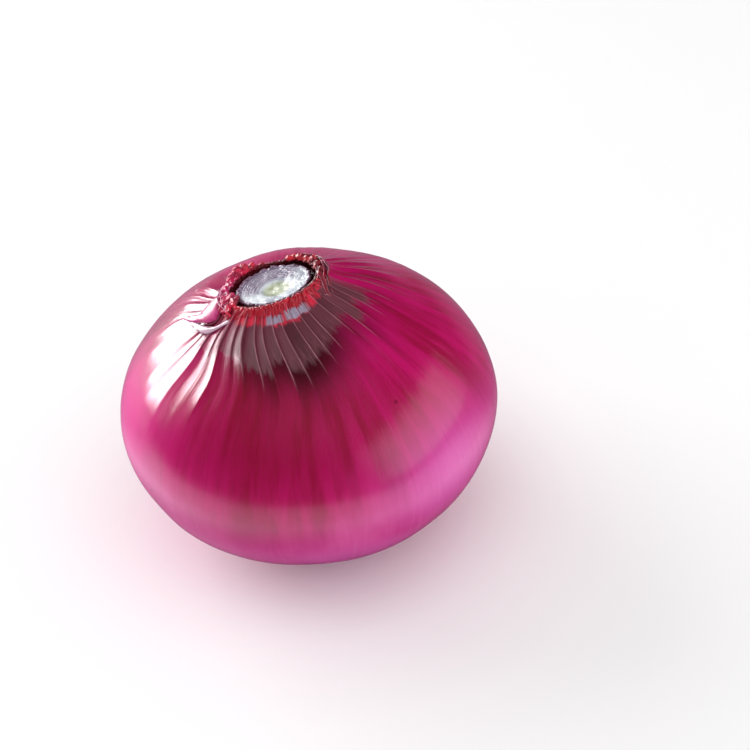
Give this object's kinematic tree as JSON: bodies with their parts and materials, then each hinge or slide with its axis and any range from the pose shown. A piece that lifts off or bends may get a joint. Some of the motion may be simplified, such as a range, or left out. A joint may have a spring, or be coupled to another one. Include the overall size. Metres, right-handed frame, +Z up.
{
  "type": "red onion",
  "caption": "Whole red onion, squat and round, with a ribbed neck cut across, a torn skin edge around the pale core, curled skin flaps and a small flat root plate it stands on.",
  "frame": {"origin": "centre of the flat underside of the root plate that the onion stands on", "axes": "+Z up from the root plate to the neck, -Y towards the side that shows the front of the neck, +X to that side's right"},
  "size_m": [0.0844, 0.0836, 0.0677],
  "materials": {
    "red_skin": "glossy wet magenta-crimson onion skin with fine meridian veins, paler pink towards the root"
  },
  "bodies": {
    "root": {"onion_bulb": "red_skin"}
  },
  "joints": []
}
